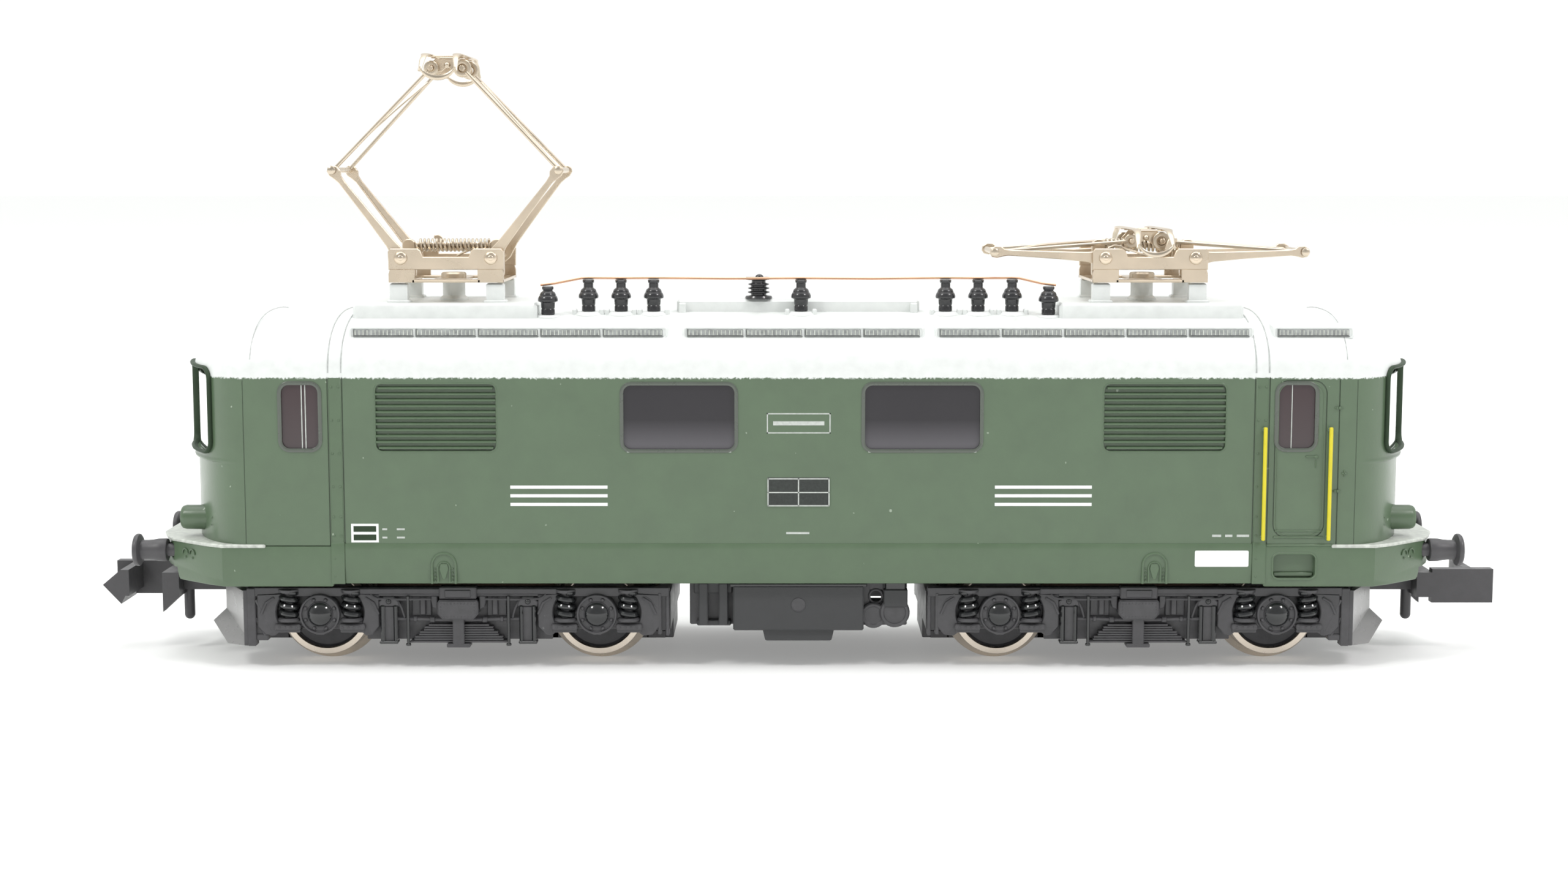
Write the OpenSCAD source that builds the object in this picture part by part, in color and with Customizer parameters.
// Model electric locomotive, 1:160, nine millimetre gauge, two two-axle bogies.
// +X is the end with the lowered pantograph, +Y the far side, +Z up.
// The wheel flanges stand on z = 0 and the origin is under the middle.
// The whole object repeats when it is turned half a turn about Z,
// apart from the pose of the two pantographs.

/* [Body] */
// Width over the side walls
body_w = 18.4; // [18.4:0.02:18.44]
// Height of the lower edge of the side walls
body_z0 = 6.2; // [6.15:0.05:6.3]
// Height of the line where wall and roof meet
eaves_z = 20.57; // [20.5:0.01:20.6]
// Wall thickness of the body moulding
wall = 0.9; // [0.7:0.05:0.9]
// Rise of the roof above the eaves
roof_h = 4.2; // [4.1:0.05:4.25]

/* [Bogies] */
// Distance from the middle to a bogie pivot
pivot_x = 23.7; // [23.7:0.05:23.75]
// Half of the wheelbase of a bogie
half_base = 9.65; // [9.65:0.01:9.66]
// Radius over the wheel flange, which is also the axle height
flange_r = 3.7; // [3.65:0.05:3.7]
// Radius of the tread
tread_r = 3.15; // [3.05:0.05:3.2]
// Distance between the backs of the two wheels on an axle
back_to_back = 7.4; // [7.4:0.02:7.44]

/* [Drive] */
// Gear module
gm = 0.4; // [0.4:0.01:0.4]
// Height of the motor shaft
shaft_z = 13; // [13:0.01:13]
// Motor shaft radius
shaft_r = 0.75; // [0.6:0.05:0.75]
// Teeth of the worm wheel
n_wheel = 16; // [16:1:16]
// Teeth of an idler
n_idler = 13; // [13:1:13]
// Teeth of an axle gear
n_axle = 12; // [12:1:12]

/* [Pantographs] */
// Distance from the middle to the centre of a pantograph
panto_x = 24.8; // [24.6:0.1:25]
// Height of the lower pivots
panto_z = 28.5; // [28.4:0.05:28.6]
// Length of a lower arm
lower_l = 7.79; // [7.75:0.01:7.8]
// Length of an upper arm
upper_l = 9.9; // [9.88:0.01:9.92]
// Angle of the lower arms when raised
raised_a = 52.1; // [45:0.1:52.1]

/* [Couplers] */
// Distance from the bogie pivot to the coupler pivot
coupler_dx = 15.3; // [15.3:0.01:15.3]

/* [Hidden] */
$fn = 48;

green = [0.29, 0.40, 0.28];
silver = [0.80, 0.82, 0.81];
black = [0.13, 0.13, 0.14];
grey = [0.30, 0.29, 0.31];
nickel = [0.78, 0.72, 0.62];
copper = [0.80, 0.50, 0.30];
brass = [0.80, 0.65, 0.30];
glassc = [0.35, 0.28, 0.30];
zinc = [0.60, 0.61, 0.62];

half_w = body_w / 2;
axle_z = flange_r;
belt_z = 14.7;
ridge_z = 8.95;
nose_x0 = 38.2;

// quarter of a plan: from the side wall round to the middle of the nose
function quarter(x0, l, w, n = 1.9, k = 14) = [for (i = [0:k]) let (u = 90 - 90 * i / k)
  [x0 + l * pow(cos(u), 2 / n), w * pow(sin(u), 2 / n)]];
function plan(q) = concat(q,
  [for (i = [len(q) - 2:-1:0]) [q[i][0], -q[i][1]]],
  [for (p = q) [-p[0], -p[1]]],
  [for (i = [len(q) - 2:-1:1]) [-q[i][0], q[i][1]]],
  [[-q[0][0], q[0][1]]]);

q_low = quarter(nose_x0, 4.85, half_w);
q_up = quarter(nose_x0, 5.1, half_w);
q_in = quarter(nose_x0, 4.1, half_w - wall);
q_pane_out = quarter(nose_x0, 5.0, half_w - 0.1);
q_pane_in = quarter(nose_x0, 4.4, half_w - 0.6);

module turned() { children(); rotate([0, 0, 180]) children(); }
module sides() { children(); mirror([0, 1, 0]) children(); }
// a round rod between two points
module rod(p, q, r) {
  d = q - p;
  l = norm(d);
  translate(p) rotate([0, acos(d[2] / l), atan2(d[1], d[0])]) cylinder(r = r, h = l, $fn = 24);
}
module xcyl(r, x0, x1, y = 0, z = 0, fn = 48) { translate([x0, y, z]) rotate([0, 90, 0]) cylinder(r = r, h = x1 - x0, $fn = fn); }
module ycyl(r, y0, y1, x = 0, z = 0, fn = 48) { translate([x, y1, z]) rotate([90, 0, 0]) cylinder(r = r, h = y1 - y0, $fn = fn); }
module box(x0, x1, y0, y1, z0, z1) { translate([x0, y0, z0]) cube([x1 - x0, y1 - y0, z1 - z0]); }
module rrect(x0, x1, z0, z1, r, y0, y1) {
  translate([0, y1, 0]) rotate([90, 0, 0]) linear_extrude(y1 - y0) {
    translate([x0 + r, z0]) square([x1 - x0 - 2 * r, z1 - z0]);
    translate([x0, z0 + r]) square([x1 - x0, z1 - z0 - 2 * r]);
    for (x = [x0 + r, x1 - r], z = [z0 + r, z1 - r]) translate([x, z]) circle(r = r, $fn = 24);
  }
}

// ---------------------------------------------------------------- body
apron = [[32.1, 9.2], [39.8, 9.2], [43.9, 6.0], [45.2, 3.0], [45.2, -3.0], [43.9, -6.0], [39.8, -9.2], [32.1, -9.2]];
deck = [[36.8, 9.32], [39.85, 9.32], [44.0, 6.1], [45.35, 3.05], [45.35, -3.05], [44.0, -6.1], [39.85, -9.32], [36.8, -9.32]];

module openings_one_side() {
  // near side (-Y): cab window at -X, machine room windows, louvres, door window at +X
  rrect(-35.55, -32.9, 15.58, 20.1, 0.45, -9.6, -8);
  rrect(32.85, 35.5, 15.6, 20.1, 0.45, -9.6, -8);
  rrect(-12.1, -4.32, 15.52, 20.08, 0.5, -9.6, -8);
  rrect(4.48, 12.53, 15.52, 20.08, 0.5, -9.6, -8);
  for (x0 = [-29.0, 20.94], k = [0:7]) box(x0, x0 + 8.3, -9.6, -8.95, 15.62 + 0.57 * k, 15.92 + 0.57 * k);
  rrect(32.8, 35.7, 6.6, 8.3, 0.35, -9.6, -8.75);
  // outline of the door
  for (x = [32.5, 36.2]) box(x, x + 0.1, -9.6, -9.12, 9.4, 20.45);
  for (x = [31.3, 32.25]) box(x, x + 0.06, -9.6, -9.14, 6.3, 20.5);
  for (x = [-31.3, -32.3]) box(x, x + 0.06, -9.6, -9.14, 6.3, 20.5);
}

module body_shell() color(green) difference() {
  union() {
    translate([0, 0, ridge_z]) linear_extrude(belt_z - ridge_z) polygon(plan(q_low));
    translate([0, 0, belt_z]) linear_extrude(eaves_z - belt_z) polygon(plan(q_up));
    turned() intersection() {
      translate([0, 0, eaves_z]) linear_extrude(0.75) polygon(plan(q_up));
      box(40.6, 45, -7.9, 7.9, eaves_z - 1, eaves_z + 2);
    }
    box(-32.1, 32.1, -half_w, half_w, body_z0, ridge_z);
    turned() translate([0, 0, body_z0 - 0.2]) linear_extrude(2.7) polygon(apron);
    turned() translate([0, 0, ridge_z - 0.25]) linear_extrude(0.25) polygon(deck);
    turned() for (y = [-5.5, 5.5]) {
      xcyl(0.87, 41.2, 43.45, y, 10.35);
      xcyl(0.9, 42.6, 44.5, y, 8.0);
    }
    // lifting bracket details on the valance
    turned() for (x = [-24.1, 24.1]) translate([x, -half_w, 6.2]) difference() {
      rrect(-0.95, 0.95, 0.05, 2.15, 0.8, -0.12, 0.1);
      box(-0.45, 0.45, -0.2, -0.05, -0.1, 1.2);
    }
    // rails of the louvre frames and the panel in the middle
    turned() rrect(-2.2, 2.2, 11.6, 13.7, 0.15, -half_w - 0.04, -half_w + 0.1);
    // door handle and hinges
    turned() {
      box(34.8, 35.7, -half_w - 0.12, -half_w + 0.1, 14.95, 15.12);
      for (z = [18.35, 13.9, 12.6]) box(36.9, 37.5, -half_w - 0.1, -half_w + 0.1, z - 0.08, z + 0.08);
    }
  }
  translate([0, 0, 5]) linear_extrude(18) polygon(plan(q_in));
  // clearance for the couplers under the aprons
  turned() box(40, 46, -5.7, 5.7, 5, 6.9);
  turned() openings_one_side();
  // windows of the nose
  turned() sides() rrect_front();
  turned() for (y = [-5.5, 5.5]) {
    xcyl(0.62, 40, 44, y, 10.35);
    xcyl(0.5, 41, 45, y, 8.0);
  }
  // holes of the handrails
  turned() for (x = [32.0, 36.5], z = [9.45, 17.0]) ycyl(0.17, -10, -8, x, z, 24);
}
module rrect_front() {
  // seen from the front: y 0.75..7.5, z 15.6..20.95
  rotate([90, 0, 90]) translate([0, 0, 39.7]) linear_extrude(5) {
    translate([1.25, 15.6]) square([5.75, 5.35]);
    translate([0.75, 16.1]) square([6.75, 4.35]);
    for (y = [1.25, 7.0], z = [16.1, 20.45]) translate([y, z]) circle(r = 0.5, $fn = 24);
  }
}

module roof_section(w, h) {
  q = quarter(0, h, w, 2.5, 16);
  rotate([90, 0, 90]) translate([0, 0, -50]) linear_extrude(100)
    polygon(concat([for (p = q) [p[1], eaves_z + p[0]]], [for (i = [len(q) - 2:-1:0]) [-q[i][1], eaves_z + q[i][0]]]));
}
module roof_side(x0, l, h) {
  q = quarter(0, h, l, 2.0, 12);
  translate([0, 30, 0]) rotate([90, 0, 0]) linear_extrude(60)
    polygon(concat([for (p = q) [x0 + p[1], eaves_z + p[0]]], [for (i = [len(q) - 1:-1:0]) [-x0 - q[i][1], eaves_z + q[i][0]]]));
}

module roof_shell() color(silver) difference() {
  union() {
    difference() {
      intersection() {
        roof_section(half_w, roof_h);
        roof_side(36, 7.3, roof_h);
        translate([0, 0, eaves_z]) linear_extrude(8) polygon(plan(q_up));
      }
      intersection() {
        roof_section(half_w - wall, roof_h - 0.9);
        roof_side(35.2, 6.9, roof_h - 0.9);
        translate([0, 0, eaves_z - 1]) linear_extrude(8) polygon(plan(q_in));
      }
      // recess over the windows of the nose
      turned() box(40.6, 45, -7.9, 7.9, eaves_z - 1, eaves_z + 0.75);
    }
    // ventilation grilles along both shoulders
    turned() for (s = [[-31.0, -9.0], [-8.0, 8.7], [9.4, 31.4], [32.7, 38.3]])
      box(s[0], s[1], -7.75, -6.4, 23.3, 24.1);
    // platforms under the pantographs
    turned() box(18.3, 31.2, -5.2, 5.2, 24.0, 25.4);
    // hatch in the middle
    box(-8.6, 8.6, -2.9, 4.6, 24.0, 25.6);
    // feet of the pantographs
    turned() for (x = [-3.4, 3.4], y = [-3.3, 3.3]) translate([panto_x + x, y, 25]) cylinder(r = 0.5, h = 1.76, $fn = 24);
    turned() translate([panto_x, 0, 25]) cylinder(r = 0.85, h = 1.76, $fn = 32);
    // seats of the insulators
    for (x = [-14.8, -12.5, -10.2, 0.2, 10.4, 12.7, 15.1]) translate([x, -3.6, 24]) cylinder(r = 0.9, h = 0.75, $fn = 32);
    for (x = [-17.6, 17.6]) translate([x, -4.3, 23.8]) cylinder(r = 0.8, h = 0.75, $fn = 32);
    // tabs that clip inside the side walls
    for (x = [-16, 0, 16]) sides() box(x - 2, x + 2, -8.28, -7.7, 19.6, 21.6);
    // top lamp
    turned() xcyl(0.8, 40.2, 42.55, 0, 22.2);
  }
  turned() xcyl(0.55, 41.6, 44, 0, 22.2);
  turned() xcyl(0.4, 38, 44, 0, 22.2);
  // screw holes under the pantographs
  turned() translate([panto_x, 0, 23]) cylinder(r = 0.45, h = 5, $fn = 24);
}

module pane(x0, x1, z0, z1, r) {
  rrect(x0 + 0.02, x1 - 0.02, z0 + 0.02, z1 - 0.02, r, -9.12, -8.29);
  box(x0 - 0.35, x1 + 0.35, -8.29, -7.9, z0 - 0.3, z1 + 0.3);
}
module side_glazing() color(glassc) turned() {
  pane(-12.1, -4.32, 15.52, 20.08, 0.5);
  pane(4.48, 12.53, 15.52, 20.08, 0.5);
}
module cab_glazing() color(glassc) turned() {
  pane(-35.55, -32.9, 15.58, 20.1, 0.45);
  pane(32.85, 35.5, 15.6, 20.1, 0.45);
  difference() {
    intersection() {
      translate([0, 0, 15.62]) linear_extrude(5.31) polygon(plan(q_pane_out));
      union() for (s = [-1, 1]) box(39.8, 45, min(s * 0.77, s * 7.48), max(s * 0.77, s * 7.48), 15.6, 21.3);
      union() for (s = [-1, 1]) box(39.8, 45, min(s * 0.77, s * 7.48), max(s * 0.77, s * 7.48), 16.05, 20.5);
    }
    translate([0, 0, 15]) linear_extrude(8) polygon(plan(q_pane_in));
  }
}
module headlight_lenses() color([0.9, 0.9, 0.85]) turned() {
  for (y = [-5.5, 5.5]) xcyl(0.6, 42.95, 43.4, y, 10.35);
  xcyl(0.53, 42.0, 42.5, 0, 22.2);
}
module light_guides() color([0.85, 0.88, 0.9]) turned() {
  box(33.2, 38.2, -0.8, 0.8, 19.4, 20.4);
  box(38.2, 39.2, -0.35, 0.35, 9.9, 20.4);
  box(38.2, 39.2, -6.0, 6.0, 9.9, 10.8);
  for (y = [-5.5, 5.5]) xcyl(0.45, 39.2, 42.9, y, 10.35, 24);
  box(38.2, 39.2, -0.35, 0.35, 20.4, 22.5);
  xcyl(0.35, 39.2, 41.9, 0, 22.2, 24);
}

// ---------------------------------------------------------------- chassis
module frame_half() difference() {
  union() {
    box(-36.5, 36.5, 0.05, 7.7, 8.2, 19.4);
    box(-7.7, 7.7, 0.05, 7.7, 6.3, 8.2);
  }
  // motor
  box(-10.2, 10.2, -1, 6.3, 8.2, 17.8);
  // flywheels
  box(-17.4, 17.4, -1, 3.9, 9.2, 16.8);
  // shaft and worms
  for (s = [-1, 1]) {
    xcyl(2.4, s * 23.7 - 5, s * 23.7 + 5, 0, shaft_z);
    xcyl(1.3, s * 23.7 - 8, s * 23.7 + 8, 0, shaft_z);
    // bogie pocket: lip, collar groove and room for the gear tower
    translate([s * pivot_x, 0, 8]) cylinder(r = 5.0, h = 0.8);
    translate([s * pivot_x, 0, 8.7]) cylinder(r = 5.65, h = 1.15);
    translate([s * pivot_x, 0, 9.8]) cylinder(r = 4.8, h = 1.2);
    translate([s * pivot_x, 0, 10.9]) cylinder(r = 4.2, h = 2);
    // screws
    ycyl(0.55, -1, 9, s * 20.5, 18.0, 24);
    ycyl(1.05, 6.9, 9, s * 20.5, 18.0, 24);
    ycyl(0.55, -1, 9, s * 33.5, 12.0, 24);
    ycyl(1.05, 6.9, 9, s * 33.5, 12.0, 24);
  }
}
module frame_half_far() color(zinc) frame_half();
module frame_half_near() color(zinc) mirror([0, 1, 0]) frame_half();
module frame_screws() color(nickel) for (p = [[-20.5, 18.0], [20.5, 18.0], [-33.5, 12.0], [33.5, 12.0]]) difference() {
  union() {
    ycyl(0.5, -7.2, 7.6, p[0], p[1], 24);
    ycyl(1.0, 6.92, 7.65, p[0], p[1], 24);
    ycyl(0.9, -7.6, -6.95, p[0], p[1], 6);
  }
  box(p[0] - 0.85, p[0] + 0.85, 7.35, 7.8, p[1] - 0.12, p[1] + 0.12);
}
module circuit_board() color([0.15, 0.35, 0.22]) {
  box(-33, 33, -6.6, 6.6, 19.4, 20.1);
  for (x = [-26, -14, 12]) box(x, x + 3, -4, -1.5, 20.1, 21.2);
  for (x = [-20, 4, 22]) box(x, x + 2, 1.5, 3.6, 20.1, 20.9);
  for (s = [-1, 1]) box(s * 32 - 0.8, s * 32 + 0.8, -0.8, 0.8, 20.1, 21.0);
}
module can_form(r, h, l) intersection() {
  xcyl(r, -l, l, 0, shaft_z);
  box(-l - 1, l + 1, -r - 1, r + 1, shaft_z - h, shaft_z + h);
}
module motor_can() color(nickel) difference() {
  can_form(6.1, 4.7, 9.8);
  can_form(5.6, 4.2, 9.2);
  xcyl(1.4, -11, 11, 0, shaft_z);
}
module motor_magnets() color(grey) difference() {
  can_form(5.59, 3.4, 6.0);
  xcyl(4.0, -8, 8, 0, shaft_z);
}
module shaft_bearings() color(brass) for (s = [-1, 1]) {
  difference() {
    union() {
      xcyl(1.39, s * 9.6 - 0.5, s * 9.6 + 0.5, 0, shaft_z);
      xcyl(1.8, s * 10.25 - 0.15, s * 10.25 + 0.15, 0, shaft_z);
    }
    xcyl(shaft_r + 0.03, s * 9.6 - 3, s * 9.6 + 3, 0, shaft_z);
  }
  difference() {
    xcyl(1.29, s * 29.5 - 0.9, s * 29.5 + 0.9, 0, shaft_z);
    xcyl(shaft_r + 0.03, s * 29.5 - 3, s * 29.5 + 3, 0, shaft_z);
  }
}
module motor_shaft() color(nickel) xcyl(shaft_r, -30.4, 30.4, 0, shaft_z);
module armature() color([0.55, 0.3, 0.18]) difference() {
  union() {
    xcyl(3.6, -4.6, 4.6, 0, shaft_z);
    xcyl(2.6, -5.6, 5.6, 0, shaft_z);
  }
  xcyl(shaft_r, -8, 8, 0, shaft_z);
  for (k = [0:4]) translate([0, 0, shaft_z]) rotate([72 * k, 0, 0]) box(-6, 6, -0.35, 0.35, 2.0, 5);
}
module commutator() color(copper) difference() {
  xcyl(1.6, 6.2, 8.2, 0, shaft_z);
  xcyl(shaft_r, 5, 9, 0, shaft_z);
  for (k = [0:4]) translate([0, 0, shaft_z]) rotate([72 * k + 36, 0, 0]) box(5, 9, -0.08, 0.08, 1.3, 3);
}
module flywheels() color(brass) for (s = [-1, 1]) difference() {
  union() {
    xcyl(3.4, s * 14.3 - 2.2, s * 14.3 + 2.2, 0, shaft_z, 64);
    xcyl(1.5, s * 14.3 - 2.7, s * 14.3 + 2.7, 0, shaft_z);
  }
  xcyl(shaft_r, s * 14.3 - 4, s * 14.3 + 4, 0, shaft_z);
}

// worm: single thread whose axial pitch is pi times the module
worm_p = PI * gm;
worm_rp = 1.6;
function thread_r(s) = abs(s) < 0.16 ? 1.95 : abs(s) > 0.35 ? 1.15 : 1.95 - 0.8 * (abs(s) - 0.16) / 0.19;
module worm(x) translate([x - 1.5 * worm_p, 0, shaft_z]) rotate([0, 90, 0]) difference() {
  linear_extrude(3 * worm_p, twist = 1080, slices = 48)
    polygon([for (t = [-180, -152, -126, -101, -82, -64, -45, -23, 0, 23, 45, 64, 82, 101, 126, 152]) let (r = thread_r(worm_p * t / 360)) [r * cos(t), r * sin(t)]]);
  translate([0, 0, -1]) cylinder(r = shaft_r / cos(15) + 0.005, h = 8, $fn = 12);
}
module worms() color(brass) { worm(-pivot_x); worm(pivot_x); }

// gears: straight-sided teeth on the pitch circle
function tooth(n, k, ph, add, ded, rp) = let (a = ph + 360 * k / n, d = 180 / PI) [
  for (q = [[rp - ded, -0.33], [rp, -0.25], [rp + add, -0.13], [rp + add, 0.13], [rp, 0.25], [rp - ded, 0.33]])
  [q[0] * cos(a + d * q[1] / q[0]), q[0] * sin(a + d * q[1] / q[0])]];
function gear_pts(n, ph, add = 0.35, ded = 0.47) = let (rp = n * gm / 2) [for (k = [0:n - 1]) each tooth(n, k, ph, add, ded, rp)];
module gear(n, ph, w, bore, hub_w = 0, hub_r = 0) rotate([90, 0, 0]) difference() {
  union() {
    linear_extrude(w, center = true) polygon(gear_pts(n, ph));
    if (hub_w > 0) cylinder(r = hub_r, h = hub_w, center = true, $fn = 12);
  }
  cylinder(r = bore / cos(15), h = 10, center = true, $fn = 12);
}
wheel_z = shaft_z - worm_rp - n_wheel * gm / 2;
d_wi = (n_wheel + n_idler) * gm / 2;
d_ia = (n_idler + n_axle) * gm / 2;
// idler centre: where two circles about the worm wheel and the axle cross, the lower crossing
d_wa = norm([half_base, axle_z - wheel_z]);
u_wa = [half_base, axle_z - wheel_z] / d_wa;
a_wi = (d_wi * d_wi - d_ia * d_ia + d_wa * d_wa) / (2 * d_wa);
h_wi = sqrt(d_wi * d_wi - a_wi * a_wi);
idler_dx = a_wi * u_wa[0] + h_wi * u_wa[1];
idler_z = wheel_z + a_wi * u_wa[1] - h_wi * u_wa[0];
// tooth phase of gear B that meshes with gear A, phi being the direction from A to B
function mate(na, pa, nb, phi) = phi + 180 - 360 / nb * (0.5 - na * (phi - pa) / 360);
ph_wheel = 90;
function phi_wi(s) = atan2(idler_z - wheel_z, s * idler_dx);
function phi_ia(s) = atan2(axle_z - idler_z, s * (half_base - idler_dx));
function ph_idler(s) = mate(n_wheel, ph_wheel, n_idler, phi_wi(s));
function ph_axle(s) = mate(n_idler, ph_idler(s), n_axle, phi_ia(s));
pin_r = 0.45;

wheel_tw = 2.686;
module worm_wheel(x) color([0.85, 0.83, 0.78]) translate([x, 0, wheel_z]) rotate([90, 0, 0]) difference() {
  rotate([0, 0, wheel_tw / 2]) linear_extrude(1.2, center = true, twist = wheel_tw, slices = 1) polygon(gear_pts(n_wheel, ph_wheel, 0.36, 0.47));
  cylinder(r = (pin_r + 0.04) / cos(15), h = 10, center = true, $fn = 12);
}
// s: +1 the axle on the +X side of the bogie centre
module idler(x, s) color([0.85, 0.83, 0.78]) translate([x + s * idler_dx, 0, idler_z]) gear(n_idler, ph_idler(s), 1.2, pin_r + 0.04);
module axle_gear(x, s) color([0.85, 0.83, 0.78]) translate([x + s * half_base, 0, axle_z]) gear(n_axle, ph_axle(s), 1.2, 0.75, 1.4, 1.5);
module wheels(x, s) color(nickel) translate([x + s * half_base, 0, axle_z]) {
  for (m = [0, 1]) mirror([0, m, 0]) rotate([-90, 0, 0]) {
    translate([0, 0, 0.05]) cylinder(r = 0.75, h = 3.8);
    rotate_extrude() polygon([[0, back_to_back / 2], [flange_r - 0.25, back_to_back / 2], [flange_r, 3.9], [flange_r, 4.1],
      [tread_r + 0.05, 4.5], [tread_r - 0.05, 5.9], [tread_r - 0.5, 5.9], [tread_r - 0.6, 5.4],
      [1.3, 5.2], [1.1, 5.7], [0, 5.7]]);
  }
}
module tower() {
  difference() {
    union() {
      box(-13.2, 13.2, -1.95, 1.95, 1.75, 7.6);
      box(-4.3, 4.3, -1.95, 1.95, 7.6, 10.4);
      translate([0, 0, 8.76]) cylinder(r = 5.6, h = 1.0);
    }
    // slot for the gears
    box(-12.6, 12.6, -0.75, 0.75, 1, 6.8);
    box(-8.0, 8.0, -0.75, 0.75, 6, 8.3);
    box(-3.9, 3.9, -0.75, 0.75, 6, 12);
    for (s = [-1, 1]) ycyl(0.79, -4, 4, s * half_base, axle_z);
  }
  // gear pins
  ycyl(pin_r, -0.76, 0.76, 0, wheel_z, 24);
  for (s = [-1, 1]) ycyl(pin_r, -0.76, 0.76, s * idler_dx, idler_z, 24);
}
module gear_tower_b() color(grey) translate([pivot_x, 0, 0]) tower();
module gear_tower_a() color(grey) rotate([0, 0, 180]) translate([pivot_x, 0, 0]) tower();
module pickups() sides() {
  box(-10.5, 10.5, 3.35, 3.5, 4.7, 5.6);
  for (s = [-1, 1]) box(s * half_base - 0.6, s * half_base + 0.6, 3.5, 3.65, 4.8, 5.5);
  box(-1, 1, 1.95, 3.5, 4.9, 5.4);
  box(-0.8, 0.8, 3.35, 3.5, 5.6, 7.4);
}
module pickups_b() color(copper) translate([pivot_x, 0, 0]) pickups();
module pickups_a() color(copper) rotate([0, 0, 180]) translate([pivot_x, 0, 0]) pickups();

module coil_block(x, z0, z1, r) translate([x, -7.85, z0]) rotate_extrude($fn = 24)
  polygon(concat([[0, 0]], [for (k = [0:3]) each [[r - 0.14, (z1 - z0) * k / 4], [r, (z1 - z0) * (k + 0.2) / 4], [r, (z1 - z0) * (k + 0.7) / 4], [r - 0.14, (z1 - z0) * (k + 0.95) / 4]]], [[0, z1 - z0]]));
module side_frame() {
  // top beam and the plates on each side of the axles, near side (-Y)
  box(-14.8, 14.5, -8.2, -7.3, 4.95, 5.75);
  for (s = [-1, 1]) {
    box(s * half_base + s * 3.2 - 0.9, s * half_base + s * 3.2 + 0.9, -8.2, -7.3, 2.5, 5);
    box(s * half_base - s * 3.9 - 1.0, s * half_base - s * 3.9 + 1.0, -8.2, -7.3, 2.3, 5);
    // horn plates and axle box
    box(s * half_base - 3.4, s * half_base + 3.4, -7.9, -7.3, 2.6, 5);
    ycyl(1.35, -8.75, -7.4, s * half_base, axle_z);
    box(s * half_base - 3.2, s * half_base - 1.3, -8.35, -7.4, 2.55, 3.15);
    box(s * half_base + 1.3, s * half_base + 3.2, -8.35, -7.4, 2.55, 3.15);
    for (t = [-2.35, 2.35]) coil_block(s * half_base + t, 3.1, 5.0, 0.68);
    // hangers of the leaf spring
    box(s * 5.0 - 0.55, s * 5.0 + 0.55, -8.3, -7.3, 1.75, 5.0);
    translate([s * 3.5, -8.1, 1.85]) cylinder(r = 0.14, h = 3.3, $fn = 16);
  }
  // leaf spring, longest leaf at the bottom, and the link bar above it
  for (k = [0:5]) box(-3.7 + 0.28 * k, 3.7 - 0.28 * k, -8.2, -7.3, 1.85 + 0.2 * k, 2.07 + 0.2 * k);
  box(-4.6, 4.6, -7.9, -7.4, 3.3, 3.6);
  box(-0.6, 0.6, -8.35, -7.3, 1.6, 4);
  box(-1.0, 1.0, -8.35, -7.3, 1.56, 1.85);
  rrect(-1.75, 1.75, 3.8, 5.2, 0.4, -8.6, -7.3);
  box(-1.1, 1.1, -8.5, -7.3, 5.1, 5.9);
}
module bogie_frame() difference() {
  union() {
    side_frame();
    mirror([0, 1, 0]) side_frame();
    // cross beams and bottom plate
    box(-14.8, -13.75, -8.2, 8.2, 2.6, 5.4);
    box(13.6, 14.5, -8.2, 8.2, 2.6, 5.4);
    box(-14.8, -13.75, -3.3, 3.3, 1.2, 3);
    box(13.6, 14.5, -3.3, 3.3, 1.2, 4);
    box(-14.2, 14.2, -3.3, 3.3, 1.2, 1.75);
    // coupler pocket
    box(13.6, 17.0, -2.7, 2.7, 3.6, 5.75);
    // rail guards
    for (m = [0, 1]) mirror([0, m, 0]) translate([0, 0, 1.6]) linear_extrude(3.9)
      polygon([[13.7, 8.2], [14.8, 8.2], [18.1, 3.9], [17.5, 3.6], [14.4, 7.4], [13.7, 7.4]]);
    box(13.7, 14.5, -8.2, -7.3, 1.6, 5.75);
    box(13.7, 14.5, 7.3, 8.2, 1.6, 5.75);
  }
  // gear windows
  for (s = [-1, 1]) box(s * half_base - 3.1, s * half_base + 3.1, -0.95, 0.95, 0, 2.5);
  // pocket
  box(14.2, 16.0, -2.2, 2.2, 4.0, 5.55);
  box(15.5, 18, -1.25, 1.25, 3.9, 5.6);
}
module bogie_frame_b() color(black) translate([pivot_x, 0, 0]) bogie_frame();
module bogie_frame_a() color(black) rotate([0, 0, 180]) translate([pivot_x, 0, 0]) bogie_frame();

cpx = pivot_x + coupler_dx;
module coupler() color(black) {
  ycyl(0.45, -1.7, 1.7, cpx, 4.8, 32);
  translate([cpx, 0, 4.35]) cylinder(r = 0.5, h = 0.9, $fn = 32);
  box(cpx, cpx + 5.9, -0.8, 0.8, 4.3, 5.25);
  // rear bar
  box(44.7, 45.9, -2.3, 2.3, 4.0, 5.8);
  translate([0, 2.3, 0]) rotate([90, 0, 0]) linear_extrude(0.9) polygon([[44.7, 4.1], [45.9, 4.1], [45.9, 2.9], [44.7, 4.0]]);
  translate([44.55, 0, 2.35]) cylinder(r = 0.38, h = 2.4, $fn = 24);
  translate([44.55, 0, 2.35]) sphere(r = 0.38, $fn = 24);
  // side arm
  box(45.8, 50.2, -2.3, -1.45, 3.6, 6.05);
  // hook bar
  translate([0, 2.3, 0]) rotate([90, 0, 0]) linear_extrude(3.9) polygon([[48.3, 6.0], [48.9, 6.0], [50.2, 4.9], [48.9, 3.5], [48.6, 4.1], [48.3, 4.1]]);
}
module coupler_b() coupler();
module coupler_a() rotate([0, 0, 180]) coupler();
module coupler_spring() color(nickel) xcyl(0.4, cpx - 1.0, cpx - 0.52, 0, 4.8, 24);
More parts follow.
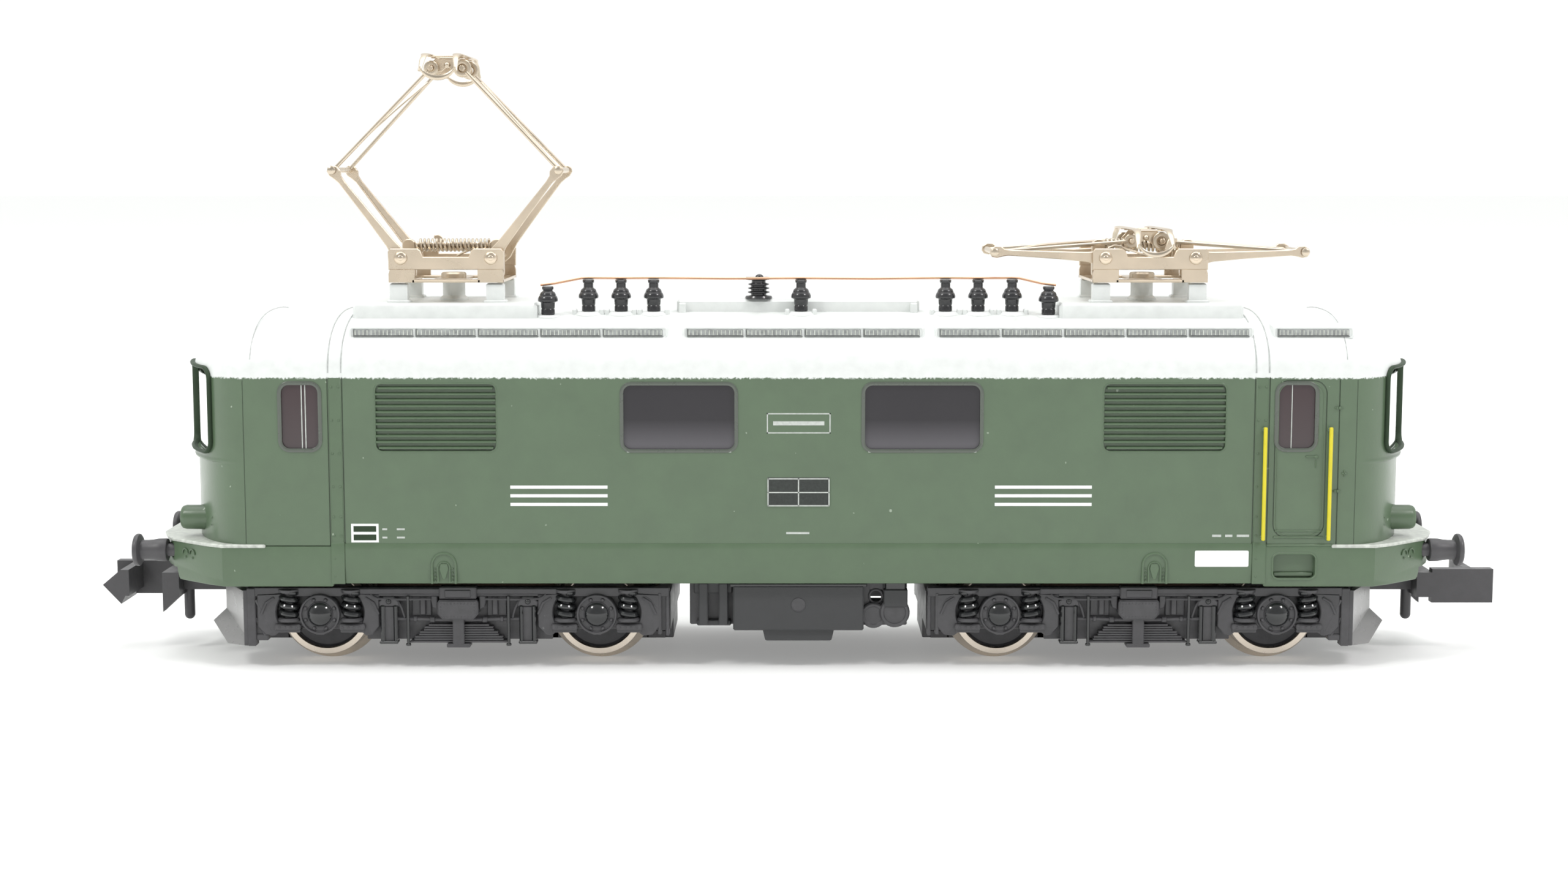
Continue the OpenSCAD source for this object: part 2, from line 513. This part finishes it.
module coupler_spring_b() coupler_spring();
module coupler_spring_a() rotate([0, 0, 180]) coupler_spring();

// ---------------------------------------------------------------- underframe and small parts
module underframe_box() color(grey) difference() {
  union() {
    box(-4.6, 4.6, -8.5, 8.5, 2.76, 6.15);
    box(-4.8, 4.8, -8.6, 8.6, 5.9, 6.15);
    box(-7.7, 7.7, -7.6, 7.6, 2.9, 6.3);
    turned() translate([0, -7.6, 0]) rotate([90, 0, 0]) linear_extrude(0.7) {
      translate([6.6, 4.1]) circle(r = 1.1, $fn = 32);
      translate([5.2, 4.1]) circle(r = 1.0, $fn = 32);
      translate([-5.5, 3.1]) square([0.6, 3]);
      translate([-6.9, 3.1]) square([0.6, 3]);
    }
    translate([0, 8.2, 0]) rotate([90, 0, 0]) linear_extrude(16.4) polygon([[-2.5, 2.8], [2.5, 2.8], [2.3, 2.0], [-2.3, 2.0]]);
  }
  turned() ycyl(0.45, -9, -7.9, 0, 4.6, 24);
}
module buffers() color(black) turned() for (y = [-5.5, 5.5]) {
  xcyl(0.48, 42.9, 44.6, y, 8.0, 32);
  xcyl(0.72, 44.5, 46.5, y, 8.0, 32);
  xcyl(0.82, 44.5, 45.3, y, 8.0, 32);
  xcyl(1.14, 46.4, 46.9, y, 8.0, 48);
}
module door_handrails() color([0.93, 0.88, 0.2]) turned() for (x = [32.0, 36.5]) {
  translate([x, -9.55, 9.3]) cylinder(r = 0.15, h = 7.85, $fn = 24);
  for (z = [9.45, 17.0]) ycyl(0.13, -9.55, -8.4, x, z, 24);
}
ins_x = [-14.8, -12.5, -10.2, 0.2, 10.4, 12.7, 15.1];
module insulator(h) rotate_extrude($fn = 32) polygon([[0, 0], [0.5, 0], [0.5, 0.9], [0.7, 1.0], [0.7, 1.2], [0.52, 1.55], [0.36, 1.65], [0.36, h], [0, h]]);
module roof_insulators() color(black) {
  for (x = ins_x) translate([x, -3.6, 24.75]) insulator(2.25);
  for (x = [-17.6, 17.6]) translate([x, -4.3, 24.55]) insulator(2.0);
}
module roof_busbar() color(copper) {
  rod([-14.8, -3.6, 27.1], [15.1, -3.6, 27.1], 0.1);
  rod([-17.6, -4.3, 26.65], [-14.8, -3.6, 27.1], 0.1);
  rod([15.1, -3.6, 27.1], [17.6, -4.3, 26.65], 0.1);
}
module main_switch() color(black) translate([-2.8, -2.4, 25.6]) rotate_extrude($fn = 32)
  polygon([[0, 0], [0.9, 0], [0.9, 0.15], [0.6, 0.25], [0.75, 0.4], [0.6, 0.55], [0.75, 0.7], [0.6, 0.85], [0.75, 1.0], [0.6, 1.15], [0.8, 1.3], [0.8, 1.5], [0, 1.7]]);

// ---------------------------------------------------------------- pantographs
lower_dx = 3.17;
low_a = 3;
low_b = 4.2;
raised_b = acos((lower_dx - 1.1 + lower_l * cos(raised_a)) / upper_l);
module base() {
  difference() {
    sides() translate([0, -3.65, 0]) rotate([90, 0, 0]) linear_extrude(0.3) difference() {
      polygon([[-4.1, 26.76], [4.1, 26.76], [4.1, 28.9], [3.8, 29.24], [1.9, 29.24], [1.5, 28.5], [-1.5, 28.5], [-1.9, 29.24], [-3.8, 29.24], [-4.1, 28.9]]);
      translate([-2.3, 27.1]) square([4.6, 0.8]);
    }
    for (s = [-1, 1]) ycyl(0.35, -6, 6, s * lower_dx, panto_z, 32);
  }
  difference() {
    union() {
      box(-4.1, 4.1, -3.95, 3.95, 26.76, 27.0);
      // lugs between which the spring sits, the shafts turn in them
      for (s = [-1, 1]) rrect(s * 3.17 - 0.5, s * 3.17 + 0.5, 26.8, 29.75, 0.3, -0.3, 0.3);
    }
    for (s = [-1, 1]) ycyl(0.34, -1, 1, s * lower_dx, panto_z, 32);
    for (s = [-1, 1], m = [-1, 1]) box(s * 2.9 - 1.2, s * 2.9 + 1.2, m * 1.7 - 0.9, m * 1.7 + 0.9, 26, 28);
  }
  // mounting screw
  translate([0, 0, 27.0]) cylinder(r = 0.9, h = 0.35, $fn = 24);
  translate([0, 0, 25.2]) cylinder(r = 0.4, h = 2, $fn = 24);
}
module panto_bases() color(nickel) turned() translate([panto_x, 0, 0]) base();
module spring_form() xcyl(0.5, -2.66, 2.66, 0, 29.3, 24);
module panto_springs() color(nickel) turned() translate([panto_x, 0, 0]) spring_form();

// arm that lies along +X from its lower pivot at the origin
module lower_arm() color(nickel) {
  sides() translate([0, -3.2, 0]) rotate([90, 0, 0]) linear_extrude(0.3) difference() {
    union() {
      polygon([[0, -0.6], [lower_l, -0.28], [lower_l, 0.28], [0, 0.6]]);
      circle(r = 0.62, $fn = 32);
      translate([lower_l, 0]) circle(r = 0.42, $fn = 32);
    }
    translate([lower_l, 0]) circle(r = 0.24, $fn = 32);
  }
  ycyl(0.3, -4.2, 4.2, 0, 0, 32);
}
// arm that lies along -X from the elbow at the origin to the head
module upper_arm(eye_r) color(nickel) {
  ycyl(0.2, -3.7, 3.7, 0, 0, 32);
  for (s = [-1, 1]) {
    rod([0, s * 2.95, 0], [-upper_l + eye_r + 0.1, s * 2.0, 0], 0.16);
    difference() {
      ycyl(eye_r + 0.2, s * 1.9 - 0.2, s * 1.9 + 0.2, -upper_l, 0, 32);
      ycyl(eye_r, s * 1.9 - 1, s * 1.9 + 1, -upper_l, 0, 32);
    }
  }
  rod([-0.5, -2.9, 0], [-upper_l + 1.2, 2.1, 0], 0.1);
}
module head(px) color(nickel) {
  for (s = [-1, 1]) {
    // stub shafts outside two side plates
    for (m = [-1, 1]) ycyl(0.2, min(m * 1.35, m * 2.4), max(m * 1.35, m * 2.4), s * px, 0, 32);
    box(-px - 0.3, px + 0.3, s * 1.4 - 0.1, s * 1.4 + 0.1, -0.3, 0.74);
    // contact strips, bent down at the ends
    box(s * 1.1 - 0.35, s * 1.1 + 0.35, -4.6, 4.6, 0.72, 0.97);
    for (m = [-1, 1]) translate([s * 1.1 + 0.35, 0, 0]) rotate([90, 0, -90]) linear_extrude(0.7)
      polygon([[m * 4.6, 0.72], [m * 5.5, 0.38], [m * 6.25, -0.35], [m * 6.45, -0.25], [m * 5.65, 0.62], [m * 4.6, 0.97]]);
    // round ends that join the strips
    translate([0, s * 6.35 + 0.1, 0.49]) rotate([90, 0, 0]) linear_extrude(0.2) difference() {
      circle(r = 1.45, $fn = 48);
      circle(r = 1.05, $fn = 48);
      translate([-2, -0.85]) square([4, 3]);
    }
  }
}
module place_lower(c, a, s) translate([c + s * lower_dx, 0, panto_z]) mirror([s < 0 ? 1 : 0, 0, 0]) rotate([0, -a, 0]) lower_arm();
module place_upper(c, a, b, s, e) translate([c + s * (lower_dx + lower_l * cos(a)), 0, panto_z + lower_l * sin(a)])
  mirror([s < 0 ? 1 : 0, 0, 0]) rotate([0, b, 0]) upper_arm(e);
module place_head(c, a, b) translate([c, 0, panto_z + lower_l * sin(a) + upper_l * sin(b)]) head(lower_dx + lower_l * cos(a) - upper_l * cos(b));
module panto_a_lower_arm_1() place_lower(-panto_x, raised_a, -1);
module panto_a_lower_arm_2() place_lower(-panto_x, raised_a, 1);
module panto_a_upper_arm_1() place_upper(-panto_x, raised_a, raised_b, -1, 0.24);
module panto_a_upper_arm_2() place_upper(-panto_x, raised_a, raised_b, 1, 0.36);
module panto_a_head() place_head(-panto_x, raised_a, raised_b);
module panto_b_lower_arm_1() place_lower(panto_x, low_a, -1);
module panto_b_lower_arm_2() place_lower(panto_x, low_a, 1);
module panto_b_upper_arm_1() place_upper(panto_x, low_a, low_b, -1, 0.24);
module panto_b_upper_arm_2() place_upper(panto_x, low_a, low_b, 1, 0.36);
module panto_b_head() place_head(panto_x, low_a, low_b);

// ---------------------------------------------------------------- numbered pieces
module worm_wheel_a() worm_wheel(-pivot_x);
module worm_wheel_b() worm_wheel(pivot_x);
module idler_gear_a1() idler(-pivot_x, -1);
module idler_gear_a2() idler(-pivot_x, 1);
module idler_gear_b1() idler(pivot_x, -1);
module idler_gear_b2() idler(pivot_x, 1);
module wheels_a1() wheels(-pivot_x, -1);
module wheels_a2() wheels(-pivot_x, 1);
module wheels_b1() wheels(pivot_x, -1);
module wheels_b2() wheels(pivot_x, 1);
module axle_gear_a1() axle_gear(-pivot_x, -1);
module axle_gear_a2() axle_gear(-pivot_x, 1);
module axle_gear_b1() axle_gear(pivot_x, -1);
module axle_gear_b2() axle_gear(pivot_x, 1);

body_shell();
roof_shell();
side_glazing();
cab_glazing();
headlight_lenses();
light_guides();
frame_half_near();
frame_half_far();
frame_screws();
circuit_board();
motor_can();
motor_magnets();
shaft_bearings();
underframe_box();
buffers();
door_handrails();
roof_insulators();
roof_busbar();
main_switch();
panto_bases();
panto_springs();
motor_shaft();
armature();
commutator();
worms();
flywheels();
bogie_frame_a();
bogie_frame_b();
gear_tower_a();
gear_tower_b();
pickups_a();
pickups_b();
coupler_spring_a();
coupler_spring_b();
worm_wheel_a();
worm_wheel_b();
idler_gear_a1();
idler_gear_a2();
idler_gear_b1();
idler_gear_b2();
wheels_a1();
wheels_a2();
wheels_b1();
wheels_b2();
axle_gear_a1();
axle_gear_a2();
axle_gear_b1();
axle_gear_b2();
coupler_a();
coupler_b();
panto_a_lower_arm_1();
panto_a_lower_arm_2();
panto_a_upper_arm_1();
panto_a_upper_arm_2();
panto_a_head();
panto_b_lower_arm_1();
panto_b_lower_arm_2();
panto_b_upper_arm_1();
panto_b_upper_arm_2();
panto_b_head();
